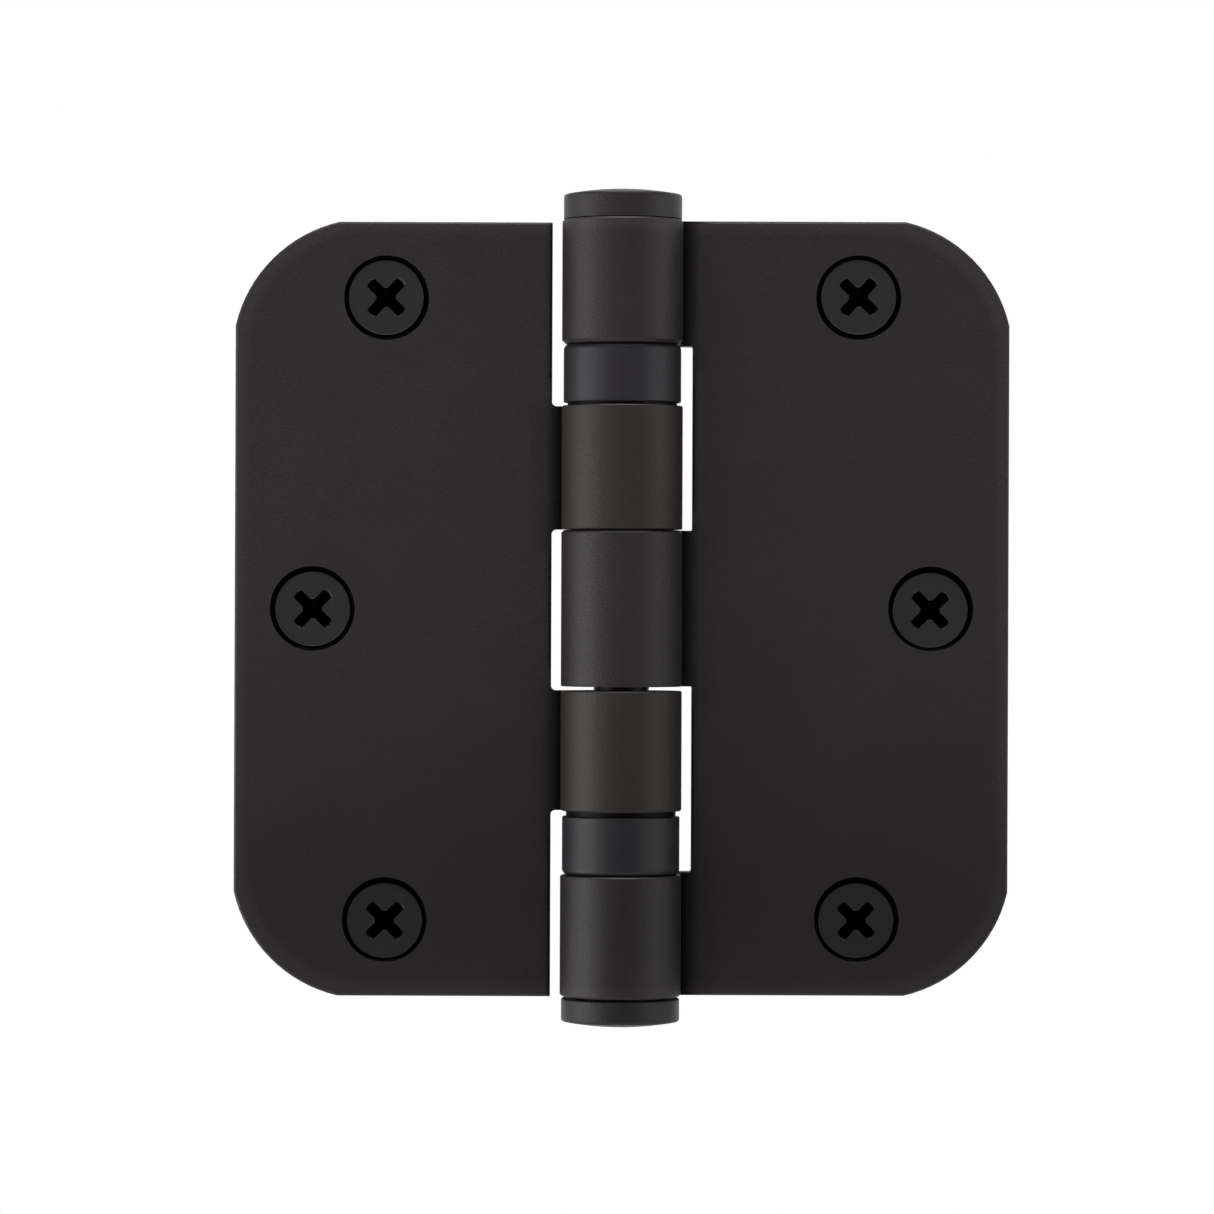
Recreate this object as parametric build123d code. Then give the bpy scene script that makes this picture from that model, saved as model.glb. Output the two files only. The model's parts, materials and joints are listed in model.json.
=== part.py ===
from build123d import *
from math import cos, radians, sin, sqrt, tan
import os

# A 3.5 in full-mortise butt hinge, open flat: five knuckles, two ball bearings, a loose pin.
# The pin axis is Z, with the origin on it at mid-height. The leaf faces that take the screw heads
# look along -Y. The frame leaf is on +X and the door leaf on -X.

os.makedirs("parts", exist_ok=True)

INCH = 25.4
TINY = 0.001

# Leaves
LEAF_HEIGHT = 3.5 * INCH
OPEN_WIDTH = 3.5 * INCH
LEAF_T = 3.4
CLOSED_GAP = 1.6  # between the two leaf faces when the hinge is shut
CORNER_R = 0.625 * INCH
CORNER_IN = 15.475  # from each edge to the corner arc's centre, a little less than the radius
LEAF_INNER_X = 8.08  # edge beside the barrel
LEAF_EDGE_R = 0.35
FRAME_NOTCH_R = 0.2
DOOR_NOTCH_R = 0.55
DOOR_LEAF_DROP = 0.2  # the door leaf's plate hangs this much lower than the frame leaf's
FRONT_Y = CLOSED_GAP / 2
BACK_Y = FRONT_Y + LEAF_T
HALF_HEIGHT = LEAF_HEIGHT / 2
HALF_WIDTH = OPEN_WIDTH / 2

# Knuckles, rolled from the leaves
BARREL_R = 6.95
PIN_R = INCH / 8
BORE_R = PIN_R + 0.15
SEAM_W = 0.12  # slit between the roll's free end and the leaf
SWAGE_DIP = 0.35  # how far the leaf's face falls to meet the roll
SWAGE_X = 6.9  # where the fall ends
SWAGE_START_X = 10.6
SWAGE_START_SLOPE = 0.03
SWAGE_BACK_R = 3.0  # hollow between the leaf's back and the barrel
TAB_END_X = 5.0  # inside the knuckle's wall
WEB_BELOW_SEAM = 0.7  # from the seam to where the knuckle's outline enters the leaf
WEB_OVERLAP = 0.3  # how far that outline runs on into the leaf
JOIN_FROM = 10  # the leaf joins its knuckles between these angles about the pin, in degrees
JOIN_TO = 49

# Knuckles from top to bottom: low end, high end, and the chamfer on the rim of each
KNUCKLE_1 = (30.25, HALF_HEIGHT, 0.4, 0.2)
KNUCKLE_2 = (9.0, 23.15, 0.12, 0.12)
KNUCKLE_3 = (-9.0, 8.9, 0.12, 0.3)
KNUCKLE_4 = (-23.25, -9.5, 0.15, 0.12)
KNUCKLE_5 = (-HALF_HEIGHT, -30.6, 0.2, 0.15)
# The frame leaf's end knuckles are faced back for the bearings, so their tabs are longer.
TAB_1_END = 30.07
TAB_5_END = -30.3
FACING_R = 7.1
UPPER_SPACE = (KNUCKLE_2[1], KNUCKLE_1[0])
LOWER_SPACE = (KNUCKLE_5[1], KNUCKLE_4[0])

# Screws: number 9 by 1 in, flat head, Phillips
SCREW_OUTER = (27.1, 35.7)  # from the pin axis, and from mid-height
SCREW_MIDDLE_X = 35.5
SINK_R = 4.9
SINK_HALF_ANGLE = 41
HOLE_R = 2.6
HEAD_R = 4.32
HEAD_BELOW_FACE = 0.3
HEAD_EDGE = 0.2
HEAD_CHAMFER = 0.08
NECK_R = 2.05
SHANK_R = 0.177 * INCH / 2
SHANK_STEP = 0.1  # the short rise from the neck to the shank
SHANK_END = 9.0  # depths are from the head's top
THREAD_START = 9.5
SCREW_LENGTH = 1.0 * INCH
THREAD_PITCH = INCH / 14
CREST_AT = 0.45  # shares of the pitch where a ridge's crest is and where the ridge ends
RIDGE_END = 0.62
ROOT_R = 1.55
CREST_R = 2.2
POINT_LENGTH = 4.5
RECESS_R = 2.7
RECESS_FLOOR_R = 0.95
RECESS_DEPTH = 2.4
RECESS_TIP = 0.5
RECESS_OVERLAP = 0.1  # of the pointed floor with the wings
WING_W = 1.25
RECESS_CORE_R = 1.1

# How far each screw sits off its hole's centre (x, z), and how far its recess is turned, in degrees
SCREW_SEAT = {
    "frame_screw_top": (0.01, 0.12, 47),
    "frame_screw_middle": (-0.05, -0.12, 44),
    "frame_screw_bottom": (-0.04, -0.12, 46),
    "door_screw_top": (-0.07, 0.07, 46.5),
    "door_screw_middle": (0.02, -0.03, 46),
    "door_screw_bottom": (0.01, -0.11, 45),
}

# Pin and tips
TIP_R = 6.78
TOP_SEAM = 0.1  # between each tip and its knuckle
BOTTOM_SEAM = 0.25
TIP_RIM_Z = 47.38
TIP_CROWN = 0.6
TIP_EDGE_R = 0.3
BOTTOM_TIP_BEVEL = 0.15
COLLAR_R = 5.0
COLLAR_TOP_Z = 45.3
PIN_SEAT_GAP = 0.02
PIN_END_Z = -39.0
PIN_END_R = 2.1
PIN_END_TAPER = 1.4
STUD_R = 2.0
STUD_TOP_Z = 46.7
STUD_CHAMFER = 0.3
TIP_FIT_GAP = 0.02
KNURL = (36.0, 42.5)
KNURL_COUNT = 24
KNURL_DEPTH = 0.16
SPIGOT_TOP_Z = -40.2
SPIGOT_GAP = 0.02
SPIGOT_CHAMFER = 0.4
PUNCH_HOLE_R = 1.25

# Bearings
CUP_R = 6.74
CUP_WALL = 0.5
CUP_END_T = 0.6
CUP_ROUND_R = 0.7
CUP_RIM_CHAMFER = 0.1
CUP_GAP = 0.02  # from the cup's closed end to its knuckle
CUP_OPEN_Z = UPPER_SPACE[0] + 0.38
CUP_BORE_R = 3.45
RACE_BORE_R = 3.4
RACE_R = 5.95
FLANGE_R = 6.3
FLANGE_T = 0.3
RACE_GAP = 0.7  # from the ball centres to each race's face
BALL_R = 5 / 64 * INCH / 2
BALL_CLEARANCE = 0.04
BALL_COUNT = 10
BALL_PITCH_R = 4.7
CAGE_T = 0.9
CAGE_INNER_R = 3.4
CAGE_OUTER_R = 5.95


def save(shape, name):
    """Write one sub-part to its own STEP file."""
    shape.label = name
    export_step(shape, f"parts/{name}.step")


def lathe(points):
    """A solid turned about Z from a closed outline of (radius, height) points."""
    outline = Polyline(*[(r, 0, z) for r, z in points], close=True)
    return revolve(make_face(outline), Axis.Z)


def block(x, y, z):
    """A box between two corners, each axis given as (low, high)."""
    size = [high - low for low, high in (x, y, z)]
    middle = [(high + low) / 2 for low, high in (x, y, z)]
    return Pos(*middle) * Box(*size)


def prism(face, span):
    """A face in the XY plane drawn out along Z between two heights."""
    return Pos(0, 0, span[0]) * extrude(face, span[1] - span[0])


# Leaves are modelled on +X. The door leaf is mirrored to -X at the end.


def plate(tabs, notch_r, drop):
    """The flat of a leaf with the tabs that its knuckles are rolled from."""
    width = HALF_WIDTH - LEAF_INNER_X
    outline = Pos(LEAF_INNER_X + width / 2, 0) * Rectangle(width, LEAF_HEIGHT)
    for end in (1, -1):
        centre = (HALF_WIDTH - CORNER_IN, end * (HALF_HEIGHT - CORNER_IN))
        square_centre = (HALF_WIDTH - CORNER_IN / 2, end * (HALF_HEIGHT - CORNER_IN / 2))
        square = Pos(*square_centre) * Rectangle(CORNER_IN, CORNER_IN)
        outline -= square - Pos(*centre) * Circle(CORNER_R)
    tab_width = LEAF_INNER_X - TAB_END_X
    for low, high in tabs:
        tab = Rectangle(tab_width, high - low)
        outline += Pos(TAB_END_X + tab_width / 2, (low + high) / 2 + drop) * tab
    notch_corners = [
        v for v in outline.vertices() if abs(v.X - LEAF_INNER_X) < TINY and abs(v.Y) < HALF_HEIGHT - 1
    ]
    outline = fillet(notch_corners, notch_r)
    flat = Rot(90, 0, 0) * (Pos(0, 0, -BACK_Y) * extrude(outline, LEAF_T))
    rims = [
        e
        for e in flat.edges()
        if min(abs(e.center().Y - FRONT_Y), abs(e.center().Y - BACK_Y)) < TINY
        and e.center().X > TAB_END_X + TINY
    ]
    return Pos(0, 0, -drop) * fillet(rims, LEAF_EDGE_R)


def swage_dip(span):
    """The space in front of a tab, where the leaf's face falls in an arc to the roll. Its ends are round."""
    start = (SWAGE_START_X, FRONT_Y)
    end = (SWAGE_X, FRONT_Y + SWAGE_DIP)
    edges = [
        TangentArc(start, end, tangent=(-1, SWAGE_START_SLOPE)),
        Polyline(end, (SWAGE_X, 0), (SWAGE_START_X, 0), start),
    ]
    fall = make_face(edges)
    dip = prism(fall, span) + block((TAB_END_X - 1, SWAGE_X), (0, end[1]), span)
    for z in span:
        dip += Pos(0, 0, z) * revolve(fall, Axis((SWAGE_X, 0, 0), (0, 1, 0)))
    return dip


def knuckle(low, high, low_chamfer, high_chamfer):
    """One rolled knuckle and the hollow curve that joins it to the leaf's back."""
    centre_y = BACK_Y + SWAGE_BACK_R
    reach = BARREL_R + SWAGE_BACK_R
    centre_x = sqrt(reach**2 - centre_y**2)
    on_barrel = (centre_x * BARREL_R / reach, centre_y * BARREL_R / reach)
    on_back = (centre_x, BACK_Y)
    inside_y = FRONT_Y + SWAGE_DIP + WEB_BELOW_SEAM
    in_tab = (sqrt(BARREL_R**2 - inside_y**2), inside_y)
    web_x = SWAGE_X + WEB_OVERLAP
    edges = [
        ThreePointArc(in_tab, (-BARREL_R, 0), on_barrel),
        TangentArc(on_back, on_barrel, tangent=(-1, 0)),
        Polyline(on_back, (web_x, BACK_Y), (web_x, inside_y), in_tab),
    ]
    ring = prism(make_face(edges) - Circle(BORE_R), (low, high))
    ring -= rim_cutter(low, 1, low_chamfer)
    return ring - rim_cutter(high, -1, high_chamfer)


def rim_cutter(end, way, size):
    """A ring that chamfers a knuckle's outer edge, left open where the leaf joins it."""
    over = 0.2
    corner = [
        (BARREL_R - size - over, 0, end - way * over),
        (BARREL_R + over, 0, end + way * (size + over)),
        (BARREL_R + over, 0, end - way * over),
    ]
    ring = revolve(make_face(Polyline(*corner, close=True)), Axis.Z, 360 - JOIN_TO + JOIN_FROM)
    return Rot(0, 0, JOIN_TO) * ring


def countersunk_hole(x, z):
    """A screw hole through the plate, with its countersink open to the front."""
    sink_depth = (SINK_R - HOLE_R) / tan(radians(SINK_HALF_ANGLE))
    lip = 1.0
    lip_r = SINK_R + lip * tan(radians(SINK_HALF_ANGLE))
    cutter = lathe(
        [(0, lip), (lip_r, lip), (HOLE_R, -sink_depth), (HOLE_R, -LEAF_T - lip), (0, -LEAF_T - lip)]
    )
    return Pos(x, FRONT_Y, z) * Rot(90, 0, 0) * cutter


def leaf(knuckles, tabs, facings, notch_r, drop):
    """A leaf on +X: plate, rolled knuckles, bore, seam and screw holes."""
    body = plate(tabs, notch_r, drop)
    for span in tabs:
        body -= swage_dip(span)
    for low, high in facings:
        body -= Pos(0, 0, (low + high) / 2) * Cylinder(FACING_R, high - low)
    for ends in knuckles:
        body += knuckle(*ends)
    seam_y = FRONT_Y + SWAGE_DIP
    for low, high, *chamfers in knuckles:
        body -= Pos(0, 0, (low + high) / 2) * Cylinder(BORE_R, high - low)
        body -= block((0, SWAGE_X), (seam_y - SEAM_W, seam_y), (low - 1, high + 1))
    for x, z in screw_places(drop):
        body -= countersunk_hole(x, z)
    return body


def screw_places(drop):
    """Hole centres (x, z) from top to bottom, on a leaf whose plate hangs lower by drop."""
    x, z = SCREW_OUTER
    return [(x, z - drop), (SCREW_MIDDLE_X, -drop), (x, -z - drop)]


def phillips_recess(turn):
    """The driver recess, point down from z = 0: four wings cut to a cone, and a small pointed floor."""
    wings = Box(2 * RECESS_R, WING_W, 2 * RECESS_DEPTH) + Box(WING_W, 2 * RECESS_R, 2 * RECESS_DEPTH)
    wings += Cylinder(RECESS_CORE_R, 2 * RECESS_DEPTH)
    cone = lathe(
        [
            (0, TINY),
            (RECESS_R, TINY),
            (RECESS_FLOOR_R, -RECESS_DEPTH + TINY),
            (0, -RECESS_DEPTH + TINY),
        ]
    )
    floor_z = -RECESS_DEPTH + RECESS_OVERLAP
    floor = lathe([(0, floor_z), (WING_W / 2, floor_z), (0, -RECESS_DEPTH - RECESS_TIP)])
    return Rot(0, 0, turn) * (wings & cone) + floor


def screw_outline():
    """Half of the screw's section, point down, as (radius, height) with the head's top at zero."""
    neck_depth = HEAD_EDGE + (HEAD_R - NECK_R) / tan(radians(SINK_HALF_ANGLE))
    shank_start = LEAF_T - HEAD_BELOW_FACE
    points = [(0, 0), (HEAD_R - HEAD_CHAMFER, 0), (HEAD_R, -HEAD_CHAMFER), (HEAD_R, -HEAD_EDGE)]
    points += [(NECK_R, -neck_depth), (NECK_R, -shank_start), (SHANK_R, -shank_start - SHANK_STEP)]
    points += [(SHANK_R, -SHANK_END), (ROOT_R, -THREAD_START)]
    # The thread is plain ridges, which shrink towards the point.
    ridge_count = int((SCREW_LENGTH - THREAD_START) / THREAD_PITCH)
    for i in range(ridge_count):
        depth = THREAD_START + (i + CREST_AT / 2) * THREAD_PITCH
        shrink = min(1, (SCREW_LENGTH - depth - THREAD_PITCH / 2) / POINT_LENGTH)
        points += [(ROOT_R * shrink, -depth), (CREST_R * shrink, -depth - CREST_AT * THREAD_PITCH)]
        points += [(ROOT_R * shrink, -depth - RIDGE_END * THREAD_PITCH)]
    points += [(0, -SCREW_LENGTH)]
    return points


def screw(x, z, seat):
    """A wood screw in a leaf's hole, head to the front."""
    shift_x, shift_z, turn = seat
    body = lathe(screw_outline()) - phillips_recess(turn)
    return Pos(x + shift_x, FRONT_Y + HEAD_BELOW_FACE, z + shift_z) * Rot(90, 0, 0) * body


def pin():
    """The loose pin: knurled under its collar, tapered at its lower end, with a stud for the top tip."""
    seat = HALF_HEIGHT + PIN_SEAT_GAP
    shaft = lathe(
        [
            (0, PIN_END_Z),
            (PIN_END_R, PIN_END_Z),
            (PIN_R, PIN_END_Z + PIN_END_TAPER),
            (PIN_R, seat),
            (COLLAR_R, seat),
            (COLLAR_R, COLLAR_TOP_Z),
            (STUD_R, COLLAR_TOP_Z),
            (STUD_R, STUD_TOP_Z - STUD_CHAMFER),
            (STUD_R - STUD_CHAMFER, STUD_TOP_Z),
            (0, STUD_TOP_Z),
        ]
    )
    flute_size = KNURL_DEPTH * sqrt(2)
    for i in range(KNURL_COUNT):
        flute = block((-flute_size, flute_size), (-flute_size, flute_size), KNURL)
        shaft -= Rot(0, 0, 360 * i / KNURL_COUNT) * Pos(PIN_R + KNURL_DEPTH, 0, 0) * Rot(0, 0, 45) * flute
    return shaft


def tip_cap(under):
    """A button tip's outer shape, for the top end: straight side, rounded edge, crowned top."""
    top = TIP_RIM_Z + TIP_CROWN
    rim_r = TIP_R - TIP_EDGE_R
    crown_r = (rim_r**2 + TIP_CROWN**2) / (2 * TIP_CROWN)
    cap = Pos(0, 0, (top + under) / 2) * Cylinder(TIP_R, top - under)
    cap &= Pos(0, 0, top - crown_r) * Sphere(crown_r)
    rim = [e for e in cap.edges() if TIP_RIM_Z - TIP_EDGE_R < e.center().Z < top - TIP_CROWN / 2]
    return fillet(rim, TIP_EDGE_R)


def top_tip():
    """The pin's button tip, hollowed for the pin's collar and bored for its stud."""
    cap = tip_cap(HALF_HEIGHT + TOP_SEAM)
    for radius, top in ((COLLAR_R, COLLAR_TOP_Z), (STUD_R, STUD_TOP_Z)):
        depth = top + TIP_FIT_GAP - HALF_HEIGHT
        cap -= Pos(0, 0, HALF_HEIGHT + depth / 2) * Cylinder(radius + TIP_FIT_GAP, depth)
    return cap


def bottom_tip():
    """The fixed tip under the lowest knuckle, with a spigot in the bore and a hole for a drift punch."""
    under = HALF_HEIGHT + BOTTOM_SEAM
    cap = tip_cap(under)
    cap = chamfer(cap.edges().group_by(Axis.Z)[0], BOTTOM_TIP_BEVEL)
    plug = mirror(cap, about=Plane.XY)
    plug += Pos(0, 0, -HALF_HEIGHT - BOTTOM_SEAM / 2) * Cylinder(COLLAR_R, BOTTOM_SEAM)
    spigot_length = SPIGOT_TOP_Z + under
    spigot = Pos(0, 0, spigot_length / 2 - under) * Cylinder(BORE_R - SPIGOT_GAP, spigot_length)
    plug += chamfer(spigot.edges().group_by(Axis.Z)[-1], SPIGOT_CHAMFER)
    return plug - Pos(0, 0, -HALF_HEIGHT) * Cylinder(PUNCH_HOLE_R, 2 * spigot_length)


# Bearings are modelled at the upper place. The lower one is a mirrored copy whose closed end
# stands on the lowest knuckle. The space there is a little taller, so its turning race is thicker.

CUP_TOP_Z = UPPER_SPACE[1] - CUP_GAP
CUP_FLOOR_Z = CUP_TOP_Z - CUP_END_T
RACE_FOOT_Z = UPPER_SPACE[0] + CUP_GAP
BALL_Z = (CUP_FLOOR_Z + RACE_FOOT_Z) / 2
LOWER_SHIFT = LOWER_SPACE[0] + UPPER_SPACE[1]
EXTRA_FOOT = {"upper": 0, "lower": LOWER_SPACE[1] - LOWER_SPACE[0] - UPPER_SPACE[1] + UPPER_SPACE[0]}


def bearing_cup():
    """The turned shell, with its rounded closed end against the outer knuckle."""
    inner_r = CUP_R - CUP_WALL
    shell = lathe(
        [
            (CUP_BORE_R, CUP_TOP_Z),
            (CUP_R, CUP_TOP_Z),
            (CUP_R, CUP_OPEN_Z + CUP_RIM_CHAMFER),
            (CUP_R - CUP_RIM_CHAMFER, CUP_OPEN_Z),
            (inner_r, CUP_OPEN_Z),
            (inner_r, CUP_FLOOR_Z),
            (CUP_BORE_R, CUP_FLOOR_Z),
        ]
    )
    closed_end = shell.edges().group_by(Axis.Z)[-1]
    return fillet(closed_end.sort_by(SortBy.LENGTH)[-1], CUP_ROUND_R)


def ball_groove():
    """The ring that a race is grooved by."""
    return Pos(0, 0, BALL_Z) * Torus(BALL_PITCH_R, BALL_R + BALL_CLEARANCE)


def fixed_race():
    """The washer in the cup's closed end, grooved on its lower face."""
    low, high = BALL_Z + RACE_GAP, CUP_FLOOR_Z
    washer = lathe([(RACE_BORE_R, low), (RACE_R, low), (RACE_R, high), (RACE_BORE_R, high)])
    return washer - ball_groove()


def turning_race(extra_foot):
    """The washer on the door leaf's knuckle, with a flange that closes the cup's open end."""
    low, high = RACE_FOOT_Z - extra_foot, BALL_Z - RACE_GAP
    washer = lathe(
        [
            (RACE_BORE_R, low),
            (FLANGE_R, low),
            (FLANGE_R, RACE_FOOT_Z + FLANGE_T),
            (RACE_R, RACE_FOOT_Z + FLANGE_T),
            (RACE_R, high),
            (RACE_BORE_R, high),
        ]
    )
    return washer - ball_groove()


def ball_places():
    """Ball centres around the pin."""
    turns = [radians(360 * i / BALL_COUNT) for i in range(BALL_COUNT)]
    return [(BALL_PITCH_R * cos(a), BALL_PITCH_R * sin(a)) for a in turns]


def cage():
    """The flat ring that spaces the balls."""
    ring = Cylinder(CAGE_OUTER_R, CAGE_T) - Cylinder(CAGE_INNER_R, CAGE_T)
    for x, y in ball_places():
        ring -= Pos(x, y, 0) * Cylinder(BALL_R + BALL_CLEARANCE, CAGE_T)
    return Pos(0, 0, BALL_Z) * ring


frame_knuckles = [KNUCKLE_1, KNUCKLE_3, KNUCKLE_5]
frame_tabs = [(TAB_1_END, KNUCKLE_1[1]), KNUCKLE_3[:2], (KNUCKLE_5[0], TAB_5_END)]
door_knuckles = [KNUCKLE_2, KNUCKLE_4]
door_tabs = [KNUCKLE_2[:2], KNUCKLE_4[:2]]

frame_leaf = leaf(frame_knuckles, frame_tabs, [UPPER_SPACE, LOWER_SPACE], FRAME_NOTCH_R, 0)
save(frame_leaf, "frame_leaf")
door_leaf = leaf(door_knuckles, door_tabs, [], DOOR_NOTCH_R, DOOR_LEAF_DROP)
save(mirror(door_leaf, about=Plane.YZ), "door_leaf")

for owner, side, drop in (("frame", 1, 0), ("door", -1, DOOR_LEAF_DROP)):
    for place, (x, z) in zip(("top", "middle", "bottom"), screw_places(drop)):
        name = f"{owner}_screw_{place}"
        save(screw(side * x, z, SCREW_SEAT[name]), name)

save(pin(), "pin")
save(top_tip(), "top_tip")
save(bottom_tip(), "bottom_tip")

for level in ("upper", "lower"):
    pieces = {
        f"{level}_bearing_cup": bearing_cup(),
        f"{level}_fixed_race": fixed_race(),
        f"{level}_turning_race": turning_race(EXTRA_FOOT[level]),
        f"{level}_cage": cage(),
    }
    for number, (x, y) in enumerate(ball_places(), start=1):
        pieces[f"{level}_ball_{number:02d}"] = Pos(x, y, BALL_Z) * Sphere(BALL_R)
    for name, piece in pieces.items():
        if level == "lower":
            piece = Pos(0, 0, LOWER_SHIFT) * mirror(piece, about=Plane.XY)
        save(piece, name)
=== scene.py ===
import json
import math

import bmesh
import bpy
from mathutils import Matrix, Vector


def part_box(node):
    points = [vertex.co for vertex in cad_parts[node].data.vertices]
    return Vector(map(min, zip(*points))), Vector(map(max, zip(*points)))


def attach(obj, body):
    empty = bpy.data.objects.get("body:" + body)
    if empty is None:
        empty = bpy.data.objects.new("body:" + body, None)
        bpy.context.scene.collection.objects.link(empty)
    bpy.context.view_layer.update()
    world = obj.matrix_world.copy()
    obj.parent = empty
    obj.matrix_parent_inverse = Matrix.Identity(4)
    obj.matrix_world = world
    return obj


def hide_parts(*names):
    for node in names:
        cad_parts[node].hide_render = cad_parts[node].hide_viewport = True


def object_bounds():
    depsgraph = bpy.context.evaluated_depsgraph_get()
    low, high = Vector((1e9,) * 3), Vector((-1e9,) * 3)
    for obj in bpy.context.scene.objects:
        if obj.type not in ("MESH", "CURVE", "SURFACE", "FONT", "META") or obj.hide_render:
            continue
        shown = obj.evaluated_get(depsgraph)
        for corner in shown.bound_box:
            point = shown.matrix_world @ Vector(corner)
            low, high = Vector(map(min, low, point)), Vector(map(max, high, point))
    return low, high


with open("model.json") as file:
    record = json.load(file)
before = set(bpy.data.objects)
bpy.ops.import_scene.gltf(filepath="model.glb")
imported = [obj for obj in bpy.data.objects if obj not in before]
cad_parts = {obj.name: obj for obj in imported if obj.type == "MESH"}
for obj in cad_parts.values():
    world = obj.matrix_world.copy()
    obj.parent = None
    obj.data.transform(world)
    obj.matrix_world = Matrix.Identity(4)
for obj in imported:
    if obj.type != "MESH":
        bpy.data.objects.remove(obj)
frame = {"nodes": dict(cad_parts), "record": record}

# A butt hinge, open flat and seen straight on from its front (-Y) side.
# Lengths are metres, as in the frame. MM turns the millimetres written here into metres.

MM = 0.001
LEAF_FACE_Y = 0.8 * MM
LEAF_BACK_Y = 4.2 * MM
NODES = frame["nodes"]
BODY_OF = {node: body for body, nodes in frame["record"]["behaviour"]["bodies"].items() for node in nodes}
cad_low, cad_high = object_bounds()


# How far each screw's recess is turned, in degrees
RECESS_TURN = {
    "frame_screw_top": 47,
    "frame_screw_middle": 44,
    "frame_screw_bottom": 46,
    "door_screw_top": 46.5,
    "door_screw_middle": 46,
    "door_screw_bottom": 45,
}


def seat_of(node):
    """The middle of a screw head's top."""
    low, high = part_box(node)
    return Vector(((low.x + high.x) / 2, low.y, (low.z + high.z) / 2))


# ---------------------------------------------------------------- materials

# Noise, in features per metre
CLOUD_SCALE = 140
SPECKLE_SCALE = 5200
GRAIN_SCALE = 4000
SWELL_SCALE = 420
STAIN_SCALE = 500

# Bumps: how deep each is, and the strength of the soft ones
GRAIN_DEPTH = 0.045 * MM
SWELL_DEPTH = 0.02 * MM
LINE_DEPTH = 0.01 * MM
SOFT_BUMP = 0.25
LINE_STRETCH = 60  # how much longer a turned line is than it is wide

COAT_GLOSS_SPREAD = 0.05
METAL_GLOSS_SPREAD = 0.08

# The knuckles' tint fades out between these distances from the pin axis
TINT_FULL_R = 7.0 * MM
TINT_END_R = 8.5 * MM

# Painted shade: countersinks and driver recesses are painted nearly black inside, and their reflection is
# turned off through Metallic
RECESS_PAINTED_SHADE = (0.0015, 0.0015, 0.0015)
SINK_R = 5.1 * MM
MASK_EDGE = 0.1 * MM
DRIVE_MASK_DEPTH = 3.0 * MM

# Painted shade: the line where a leaf's face meets the barrel is darkened too
CREASE_X = 7.0 * MM
CREASE_Y = 1.1 * MM
CREASE_WIDTH = 2.0 * MM
CREASE_SHADE_STRENGTH = 0.8

# Painted highlight: inside the leaves' outline the coating is painted a little lighter, from START to FULL,
# for the light that the rounded edges catch
CORNER_R = 15.875 * MM
CORNER_CENTRE = 44.45 * MM - CORNER_R
OUTLINE_START = 1.7 * MM
OUTLINE_FULL = 0.6 * MM
OUTLINE_HIGHLIGHT_COLOUR = (0.0270, 0.0216, 0.0244)

# Coatings, as (darkest, lightest, roughness, grain)
LEAF_COAT = ((0.0138, 0.0102, 0.0119), (0.0163, 0.0121, 0.0140), 0.50, 0.9)
TIP_COAT = ((0.0132, 0.0104, 0.0114), (0.0158, 0.0126, 0.0136), 0.48, 1.0)
CUP_COAT = ((0.0128, 0.0106, 0.0140), (0.0150, 0.0124, 0.0162), 0.48, 0.25)
SCREW_COAT = ((0.0128, 0.0108, 0.0122), (0.0158, 0.0133, 0.0150), 0.50, 0.30)
DOOR_BARREL_TINT = (1.2, 1.2, 0.85)

# Bare metals, as (darkest, lightest, roughness, turned lines per metre)
TURNED_METALS = {
    "pin_finish": ((0.022, 0.022, 0.025), (0.034, 0.034, 0.037), 0.38, 9000),
    "race_steel": ((0.010, 0.010, 0.011), (0.016, 0.016, 0.017), 0.45, 12000),
    "cage_brass": ((0.52, 0.35, 0.12), (0.62, 0.44, 0.17), 0.32, 6000),
    "ball_steel": ((0.62, 0.62, 0.64), (0.70, 0.70, 0.72), 0.12, 3000),
}


def new_material(name):
    """An empty node material with its Principled shader and output."""
    material = bpy.data.materials.new(name)
    material.use_nodes = True
    tree = material.node_tree
    tree.nodes.clear()
    shader = tree.nodes.new("ShaderNodeBsdfPrincipled")
    output = tree.nodes.new("ShaderNodeOutputMaterial")
    tree.links.new(shader.outputs["BSDF"], output.inputs["Surface"])
    return material, tree, shader


def noise(tree, scale, detail=3.0, roughness=0.55, stretch=(1, 1, 1)):
    """Noise in object space. scale is in features per metre, and stretch lengthens it along an axis."""
    coordinates = tree.nodes.new("ShaderNodeTexCoord")
    mapping = tree.nodes.new("ShaderNodeMapping")
    mapping.inputs["Scale"].default_value = [scale / s for s in stretch]
    texture = tree.nodes.new("ShaderNodeTexNoise")
    texture.inputs["Scale"].default_value = 1.0
    texture.inputs["Detail"].default_value = detail
    texture.inputs["Roughness"].default_value = roughness
    tree.links.new(coordinates.outputs["Object"], mapping.inputs["Vector"])
    tree.links.new(mapping.outputs["Vector"], texture.inputs["Vector"])
    return texture.outputs["Fac"]


def ramp(tree, factor, low, high, start=0.35, end=0.65):
    """A ramp between two colours, or two grey levels, over part of a factor's range."""
    node = tree.nodes.new("ShaderNodeValToRGB")
    for element, position, value in zip(node.color_ramp.elements, (start, end), (low, high)):
        element.position = position
        element.color = (*value, 1) if isinstance(value, tuple) else (value, value, value, 1)
    tree.links.new(factor, node.inputs["Fac"])
    return node.outputs["Color"]


def bumps(tree, layers):
    """Bump nodes in a chain, from (height, strength, distance) layers. Returns the normal."""
    normal = None
    for height, strength, distance in layers:
        node = tree.nodes.new("ShaderNodeBump")
        node.inputs["Strength"].default_value = strength
        node.inputs["Distance"].default_value = distance
        tree.links.new(height, node.inputs["Height"])
        if normal:
            tree.links.new(normal, node.inputs["Normal"])
        normal = node.outputs["Normal"]
    return normal


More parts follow.
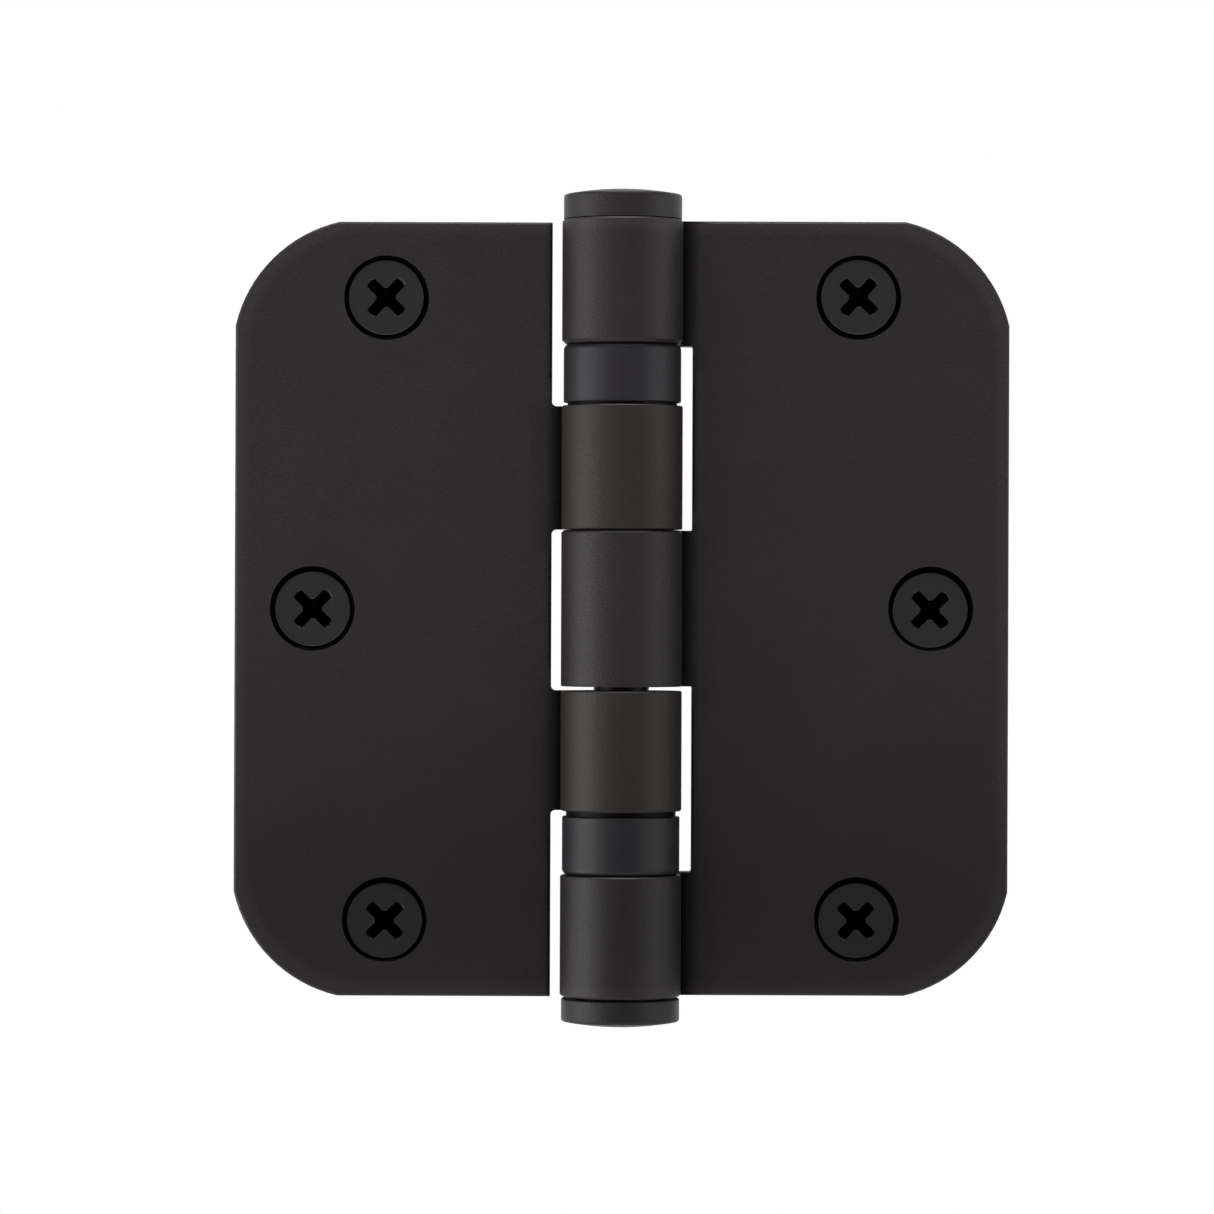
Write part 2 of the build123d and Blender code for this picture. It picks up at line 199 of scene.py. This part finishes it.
def black_coat(name, dark, light, rough, grain, barrel_tint=None, recesses=None, crease_x=None):
    """Matt black coating: slight cloudiness, uneven gloss, and a fine sprayed grain.

    recesses are the recess mask's arguments, for painted shade inside round recesses. crease_x is for a leaf,
    and brings painted shade along its crease and a painted highlight inside its outline too.
    """
    material, tree, shader = new_material(name)
    clouds = noise(tree, CLOUD_SCALE, detail=4)
    speckle = noise(tree, SPECKLE_SCALE, detail=2)
    grain_height = noise(tree, GRAIN_SCALE, detail=2, roughness=0.6)
    swell = noise(tree, SWELL_SCALE, detail=2)
    colour = ramp(tree, clouds, dark, light)
    if barrel_tint:
        colour = tint_near_pin(tree, colour, barrel_tint)
    if recesses:
        # Painted shade: the recesses go nearly black and lose their reflection
        painted_shade = recess_shade_mask(tree, *recesses)
        if crease_x:
            # Painted shade along the crease between leaf and barrel
            painted_shade = combine(tree, "MAXIMUM", painted_shade, crease_shade_mask(tree, crease_x))
            # Painted highlight: a lighter band inside the leaf's outline
            colour = mix_colour(tree, outline_highlight_mask(tree), colour, OUTLINE_HIGHLIGHT_COLOUR)
        colour = mix_colour(tree, painted_shade, colour, RECESS_PAINTED_SHADE)
        tree.links.new(painted_shade, shader.inputs["Metallic"])
    tree.links.new(colour, shader.inputs["Base Color"])
    gloss = ramp(tree, speckle, rough - COAT_GLOSS_SPREAD, rough + COAT_GLOSS_SPREAD, 0.3, 0.7)
    tree.links.new(gloss, shader.inputs["Roughness"])
    normal = bumps(tree, [(swell, SOFT_BUMP, SWELL_DEPTH), (grain_height, grain, GRAIN_DEPTH)])
    tree.links.new(normal, shader.inputs["Normal"])
    return material


def tint_near_pin(tree, colour, tint):
    """Multiply a colour by a tint on the surfaces close to the pin axis, which are the knuckles."""
    distance = distance_from(tree, (0, 0, 0), (1, 1, 0))
    near = fade(tree, distance, TINT_END_R, TINT_FULL_R)
    return mix_colour(tree, near, colour, tint, "MULTIPLY")


def distance_from(tree, centre, axes):
    """Distance in object space from a point, counting only the axes that are given as 1."""
    coordinates = tree.nodes.new("ShaderNodeTexCoord")
    flatten = tree.nodes.new("ShaderNodeVectorMath")
    flatten.operation = "MULTIPLY"
    flatten.inputs[1].default_value = axes
    tree.links.new(coordinates.outputs["Object"], flatten.inputs[0])
    distance = tree.nodes.new("ShaderNodeVectorMath")
    distance.operation = "DISTANCE"
    distance.inputs[1].default_value = [c * a for c, a in zip(centre, axes)]
    tree.links.new(flatten.outputs["Vector"], distance.inputs[0])
    return distance.outputs["Value"]


def fade(tree, value, zero_at, one_at, most=1.0):
    """A value turned into 0 at one limit and 1, or the most that is given, at the other."""
    node = tree.nodes.new("ShaderNodeMapRange")
    node.inputs["From Min"].default_value = zero_at
    node.inputs["From Max"].default_value = one_at
    node.inputs["To Max"].default_value = most
    tree.links.new(value, node.inputs["Value"])
    return node.outputs["Result"]


def combine(tree, operation, first, second):
    """One Math node."""
    node = tree.nodes.new("ShaderNodeMath")
    node.operation = operation
    tree.links.new(first, node.inputs[0])
    tree.links.new(second, node.inputs[1])
    return node.outputs["Value"]


def mix_colour(tree, factor, colour, other, blend="MIX"):
    """A colour mixed with a fixed one."""
    mix = tree.nodes.new("ShaderNodeMix")
    mix.data_type = "RGBA"
    mix.blend_type = blend
    mix.inputs["B"].default_value = (*other, 1)
    tree.links.new(factor, mix.inputs["Factor"])
    tree.links.new(colour, mix.inputs["A"])
    return mix.outputs["Result"]


def recess_shade_mask(tree, centres, radius, top, full, end):
    """Where painted shade goes: 1 inside round recesses open to -Y, and 0 elsewhere; it grows from top to
    full and stops at end.
    """
    coordinates = tree.nodes.new("ShaderNodeTexCoord")
    split = tree.nodes.new("ShaderNodeSeparateXYZ")
    tree.links.new(coordinates.outputs["Object"], split.inputs["Vector"])
    below = fade(tree, split.outputs["Y"], top, full)
    before_end = fade(tree, split.outputs["Y"], end, end - MASK_EDGE)
    nearest = distance_from(tree, centres[0], (1, 0, 1))
    for centre in centres[1:]:
        nearest = combine(tree, "MINIMUM", nearest, distance_from(tree, centre, (1, 0, 1)))
    inside = fade(tree, nearest, radius + MASK_EDGE, radius)
    return combine(tree, "MULTIPLY", combine(tree, "MULTIPLY", below, before_end), inside)


def outline_highlight_mask(tree):
    """1 in a narrow band inside the leaves' outline, where a painted highlight goes, and 0 elsewhere.

    How far a point lies past the corners' centres, in x and z together, is CORNER_R on the outline.
    """
    steps = (
        ("ABSOLUTE", None),
        ("SUBTRACT", (CORNER_CENTRE, 0, CORNER_CENTRE)),
        ("MAXIMUM", (0, 0, 0)),
        ("MULTIPLY", (1, 0, 1)),
        ("LENGTH", None),
    )
    value = tree.nodes.new("ShaderNodeTexCoord").outputs["Object"]
    for operation, operand in steps:
        node = tree.nodes.new("ShaderNodeVectorMath")
        node.operation = operation
        tree.links.new(value, node.inputs[0])
        if operand:
            node.inputs[1].default_value = operand
        value = node.outputs["Value" if operation == "LENGTH" else "Vector"]
    return fade(tree, value, CORNER_R - OUTLINE_START, CORNER_R - OUTLINE_FULL)


def turned_metal(name, dark, light, rough, line_scale):
    """Bare metal with fine lines running round the pin axis."""
    material, tree, shader = new_material(name)
    lines = noise(tree, line_scale, detail=2, stretch=(LINE_STRETCH, LINE_STRETCH, 1))
    stain = noise(tree, STAIN_SCALE, detail=3)
    colour = ramp(tree, stain, dark, light)
    tree.links.new(colour, shader.inputs["Base Color"])
    gloss = ramp(tree, lines, rough - METAL_GLOSS_SPREAD, rough + METAL_GLOSS_SPREAD, 0.3, 0.7)
    tree.links.new(gloss, shader.inputs["Roughness"])
    shader.inputs["Metallic"].default_value = 1.0
    normal = bumps(tree, [(lines, SOFT_BUMP, LINE_DEPTH)])
    tree.links.new(normal, shader.inputs["Normal"])
    return material


def crease_shade_mask(tree, x):
    """Painted shade: above 0 near the line where the leaf's face meets the barrel."""
    distance = distance_from(tree, (x, CREASE_Y, 0), (1, 1, 0))
    return fade(tree, distance, CREASE_WIDTH, 0, CREASE_SHADE_STRENGTH)


def make_materials():
    """One material for each of the record's slots, and a warmer one for the door leaf."""
    places = {}
    for owner in ("frame", "door"):
        places[owner] = [seat_of(node) for node in RECESS_TURN if node.startswith(owner)]
    # Where painted shade goes, in the countersinks and in the screws' driver recesses
    sinks = (SINK_R, LEAF_FACE_Y + 0.005 * MM, LEAF_FACE_Y + 0.04 * MM, LEAF_BACK_Y)
    head = seat_of("frame_screw_top").y
    drives = (SINK_R, head + 0.05 * MM, head + 0.25 * MM, head + DRIVE_MASK_DEPTH)
    materials = {
        "leaf_coat": black_coat(
            "leaf_coat",
            *LEAF_COAT,
            recesses=(places["frame"], *sinks),
            crease_x=CREASE_X,
        ),
        "door_leaf_coat": black_coat(
            "door_leaf_coat",
            *LEAF_COAT,
            barrel_tint=DOOR_BARREL_TINT,
            recesses=(places["door"], *sinks),
            crease_x=-CREASE_X,
        ),
        "tip_coat": black_coat("tip_coat", *TIP_COAT),
        "cup_finish": black_coat("cup_finish", *CUP_COAT),
        "screw_finish": black_coat(
            "screw_finish",
            *SCREW_COAT,
            recesses=(places["frame"] + places["door"], *drives),
        ),
    }
    for name, look in TURNED_METALS.items():
        materials[name] = turned_metal(name, *look)
    return materials


# ---------------------------------------------------------------- screws

# Lengths along a screw are measured from its head's top
HEAD_EDGE = 0.20 * MM
NECK_R = 2.05 * MM
SHANK_R = 2.248 * MM
SHANK_START = 3.2 * MM
SHANK_END = 9.0 * MM
THREAD_START = 9.5 * MM
PITCH = 25.4 / 14 * MM
ROOT_R = 1.55 * MM
CREST_R = 2.2 * MM
POINT_LENGTH = 5.2 * MM
SINK_SLOPE = math.tan(math.radians(41))

# One turn of thread, as (share of the pitch, share of the thread's height)
THREAD_SHAPE = (
    (0.0, 0.0),
    (0.22, 0.0),
    (0.36, 0.06),
    (0.45, 0.92),
    (0.48, 1.0),
    (0.51, 0.92),
    (0.62, 0.06),
    (0.80, 0.0),
)

WING_REACH = 2.7 * MM
WING_W = 1.25 * MM
CORE_R = 1.12 * MM
DRIVE_FLOOR_R = 0.9 * MM
RECESS_DEPTH = 2.4 * MM
RECESS_POINT = 0.35 * MM
SHARP_DEGREES = 35

# Angles from a wing's middle, in degrees, at which the screw's sections have points
WING_ANGLES = (0, 4, 8, 11.5, 13.4, 15.5, 19, 23, 28, 34, 39)


def section_angles(turn):
    """Angles of a section's points, closer together where the recess has corners."""
    half = list(WING_ANGLES) + [45]
    quarter = [-a for a in reversed(half[1:-1])] + half
    return [math.radians(turn + 90 * k + a) for k in range(4) for a in quarter]


def recess_radius(angle, depth, grow=0.0):
    """How far the recess reaches at an angle from a wing's middle, at a depth below the head's top."""
    share = depth / RECESS_DEPTH
    reach = WING_REACH + (DRIVE_FLOOR_R - WING_REACH) * share
    half_width = (WING_W * (1 - 0.12 * share)) / 2
    core = CORE_R + (DRIVE_FLOOR_R - CORE_R) * share
    rounding = 1 - 0.035 * min(1, abs(angle) / math.radians(12)) ** 2
    side = half_width / max(abs(math.sin(angle)), 1e-6)
    return max(core, min(reach * rounding, side)) + grow


def recess_rows(angles, turn):
    """The recess's rings from its floor up to the head's top, each a list of (radius, depth)."""
    from_wing = [(a - math.radians(turn) + math.pi / 4) % (math.pi / 2) - math.pi / 4 for a in angles]
    rows = [[(DRIVE_FLOOR_R * 0.45, RECESS_DEPTH + RECESS_POINT * 0.6)] * len(angles)]
    for depth in (RECESS_DEPTH, 2.1 * MM, 1.7 * MM, 1.2 * MM, 0.7 * MM, 0.3 * MM, 0.09 * MM):
        rows.append([(recess_radius(a, depth), depth) for a in from_wing])
    for depth, grow in ((0.05 * MM, 0.008 * MM), (0.02 * MM, 0.028 * MM), (0.0, 0.06 * MM), (0.0, 0.09 * MM)):
        rows.append([(recess_radius(a, depth, grow), depth) for a in from_wing])
    return rows


def head_and_shank_rows(head_r, count):
    """Rings of the head's top, edge, cone, neck and smooth shank."""
    cone_end = HEAD_EDGE + (head_r - NECK_R) / SINK_SLOPE
    profile = [
        (head_r * 0.80, 0.0),
        (head_r - 0.16 * MM, 0.0),
        (head_r - 0.12 * MM, 0.0),
        (head_r - 0.06 * MM, 0.012 * MM),
        (head_r - 0.015 * MM, 0.045 * MM),
        (head_r, 0.10 * MM),
        (head_r, HEAD_EDGE - 0.03 * MM),
        (head_r - 0.02 * MM, HEAD_EDGE + 0.01 * MM),
        (NECK_R + 0.12 * MM, cone_end - 0.14 * MM),
        (NECK_R + 0.02 * MM, cone_end),
        (NECK_R, cone_end + 0.1 * MM),
        (NECK_R, SHANK_START - 0.1 * MM),
        (SHANK_R - 0.02 * MM, SHANK_START - 0.02 * MM),
        (SHANK_R, SHANK_START + 0.04 * MM),
        (SHANK_R, SHANK_END - 0.1 * MM),
        (SHANK_R - 0.05 * MM, SHANK_END),
    ]
    return [[point] * count for point in profile]


def thread_point(height, depth, length):
    """A point on the thread: the core's radius plus the thread's height there, both fading to the point."""
    depth = min(max(depth, THREAD_START), length)
    left = (length - depth) / POINT_LENGTH
    core = ROOT_R * min(1, left) ** 0.85 if left > 0 else 0
    run_in = min(1, (depth - THREAD_START) / (0.9 * PITCH))
    run_out = min(1, left * 1.1)
    return core + (CREST_R - ROOT_R) * height * run_in * run_out, depth


def build_screw(name, seat, head_r, length, turn):
    """A wood screw as one closed mesh: driver recess, head, shank, and a helical thread to its point."""
    angles = section_angles(turn)
    count = len(angles)
    rows = recess_rows(angles, turn) + head_and_shank_rows(head_r, count)
    rows.append([(ROOT_R, THREAD_START)] * count)

    def place(radius, depth, angle):
        return seat + Vector((radius * math.cos(angle), depth, radius * math.sin(angle)))

    mesh = bmesh.new()
    floor = mesh.verts.new(seat + Vector((0, RECESS_DEPTH + RECESS_POINT, 0)))
    rings = [[mesh.verts.new(place(r, d, a)) for (r, d), a in zip(row, angles)] for row in rows]
    for j in range(count):
        mesh.faces.new((floor, rings[0][j], rings[0][(j + 1) % count]))
    for upper, lower in zip(rings, rings[1:]):
        for j in range(count):
            k = (j + 1) % count
            mesh.faces.new((upper[j], lower[j], lower[k], upper[k]))

    per_turn = len(THREAD_SHAPE)
    turns = math.ceil((length - THREAD_START) / PITCH) + 2
    thread = []
    for i in range(turns * per_turn):
        share, height = THREAD_SHAPE[i % per_turn]
        row = []
        for j, angle in enumerate(angles):
            advance = (angle - angles[0]) / (2 * math.pi)
            depth = THREAD_START + PITCH * (i // per_turn + share + advance - 1)
            row.append(mesh.verts.new(place(*thread_point(height, depth, length), angle)))
        thread.append(row)
    # The last section joins the first one a turn further on, so the thread runs on as a helix
    for i in range(len(thread) - per_turn):
        for j in range(count - 1):
            mesh.faces.new((thread[i][j], thread[i + 1][j], thread[i + 1][j + 1], thread[i][j + 1]))
        wrap = i + per_turn
        if wrap + 1 < len(thread):
            mesh.faces.new((thread[i][-1], thread[i + 1][-1], thread[wrap + 1][0], thread[wrap][0]))
    bmesh.ops.remove_doubles(mesh, verts=mesh.verts, dist=0.002 * MM)
    bmesh.ops.dissolve_degenerate(mesh, edges=mesh.edges, dist=0.001 * MM)
    bmesh.ops.recalc_face_normals(mesh, faces=mesh.faces)
    return finish_mesh(mesh, name)


def finish_mesh(mesh, name):
    """A bmesh as a smooth-shaded object with its sharp edges kept."""
    data = bpy.data.meshes.new(name)
    mesh.to_mesh(data)
    mesh.free()
    for face in data.polygons:
        face.use_smooth = True
    data.set_sharp_from_angle(angle=math.radians(SHARP_DEGREES))
    piece = bpy.data.objects.new(name, data)
    bpy.context.scene.collection.objects.link(piece)
    return piece


def make_screws(material):
    """Detailed screws in the places of the plain ones."""
    for node, turn in RECESS_TURN.items():
        low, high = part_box(node)
        piece = build_screw(node + "_detail", seat_of(node), (high.x - low.x) / 2, high.y - low.y, turn)
        piece.data.materials.append(material)
        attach(piece, BODY_OF[node])
        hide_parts(node)


# ---------------------------------------------------------------- carried-over nodes


def dress_nodes(materials):
    """Each CAD node takes the material of its slot."""
    for entry in frame["record"]["subparts"]:
        mesh = NODES[entry["node"]].data
        mesh.materials.clear()
        slot = "door_leaf_coat" if entry["node"] == "door_leaf" else entry["material_slot"]
        mesh.materials.append(materials[slot])


# ---------------------------------------------------------------- camera, light and floor

VIEW_DISTANCE = 0.608
VIEW_WIDTH = 0.1394  # seen across the leaf faces
VIEW_CENTRE = (-1.67 * MM, 0.10 * MM)
VIEW_ROLL = math.radians(-0.22)
DIM_FRONT = 0.09
BRIGHT_BACK = 1.07
GROUND_R = 0.13
GROUND_DROP = 0.042


def make_camera():
    """The camera, level and straight on to the leaf faces."""
    data = bpy.data.cameras.new("camera")
    data.sensor_width = 36
    data.lens = data.sensor_width * VIEW_DISTANCE / VIEW_WIDTH
    data.clip_start = 0.01
    data.clip_end = 20
    camera = bpy.data.objects.new("camera", data)
    camera.location = (VIEW_CENTRE[0], LEAF_FACE_Y - VIEW_DISTANCE, VIEW_CENTRE[1])
    camera.rotation_euler = (math.radians(90), VIEW_ROLL, 0)
    bpy.context.scene.collection.objects.link(camera)
    bpy.context.scene.camera = camera


def softbox(name, azimuth, elevation, distance, width, height, power):
    """A rectangular lamp aimed at the hinge. Azimuth is from straight in front, positive to the right."""
    data = bpy.data.lights.new(name, "AREA")
    data.shape = "RECTANGLE"
    data.size = width
    data.size_y = height
    data.energy = power
    lamp = bpy.data.objects.new(name, data)
    a, e = math.radians(azimuth), math.radians(elevation)
    away = Vector((math.sin(a) * math.cos(e), -math.cos(a) * math.cos(e), math.sin(e)))
    lamp.location = away * distance
    lamp.rotation_euler = (-away).to_track_quat("-Z", "Z").to_euler()
    bpy.context.scene.collection.objects.link(lamp)


def make_lights():
    """Softboxes at the sides, stronger on the left, a wide one low in front, and a strip overhead."""
    softbox("left_low", -84, -25, 0.9, 0.42, 0.6, 4.5)
    softbox("left_front", -68, 0, 0.9, 0.3, 1.0, 2.3)
    softbox("right_side", 79, 6, 0.9, 0.36, 1.0, 1.6)
    softbox("right_front", 62, 0, 0.9, 0.3, 1.0, 0.33)
    softbox("front_low", 0, -38, 0.8, 0.8, 0.3, 3.8)
    softbox("overhead", 0, 78, 0.9, 0.8, 0.4, 6.5)


def make_world():
    """A white surround to look at. To light by, it is bright behind the hinge and dim in front."""
    world = bpy.data.worlds.new("studio")
    bpy.context.scene.world = world
    world.use_nodes = True
    tree = world.node_tree
    tree.nodes.clear()
    direction = tree.nodes.new("ShaderNodeTexCoord")
    split = tree.nodes.new("ShaderNodeSeparateXYZ")
    tree.links.new(direction.outputs["Generated"], split.inputs["Vector"])
    spread = tree.nodes.new("ShaderNodeMapRange")
    spread.inputs["From Min"].default_value = 0.1
    spread.inputs["From Max"].default_value = 0.9
    spread.inputs["To Min"].default_value = DIM_FRONT
    spread.inputs["To Max"].default_value = BRIGHT_BACK
    tree.links.new(split.outputs["Y"], spread.inputs["Value"])
    lit = tree.nodes.new("ShaderNodeBackground")
    tree.links.new(spread.outputs["Result"], lit.inputs["Strength"])
    seen = tree.nodes.new("ShaderNodeBackground")
    for background in (lit, seen):
        background.inputs["Color"].default_value = (1, 1, 1, 1)
    path = tree.nodes.new("ShaderNodeLightPath")
    mix = tree.nodes.new("ShaderNodeMixShader")
    output = tree.nodes.new("ShaderNodeOutputWorld")
    tree.links.new(path.outputs["Is Camera Ray"], mix.inputs["Fac"])
    tree.links.new(lit.outputs["Background"], mix.inputs[1])
    tree.links.new(seen.outputs["Background"], mix.inputs[2])
    tree.links.new(mix.outputs["Shader"], output.inputs["Surface"])


def make_floor():
    """A plain pale floor below the hinge, small enough to stay under the picture."""
    mesh = bmesh.new()
    bmesh.ops.create_circle(mesh, cap_ends=True, segments=96, radius=GROUND_R)
    floor = finish_mesh(mesh, "floor")
    floor.location.z = cad_low.z - GROUND_DROP
    material, tree, shader = new_material("floor_paint")
    shader.inputs["Base Color"].default_value = (0.8, 0.8, 0.8, 1)
    shader.inputs["Roughness"].default_value = 0.9
    floor.data.materials.append(material)


make_camera()
make_world()
make_lights()
make_floor()
bpy.context.scene.view_settings.view_transform = "Standard"

materials = make_materials()
dress_nodes(materials)
make_screws(materials["screw_finish"])
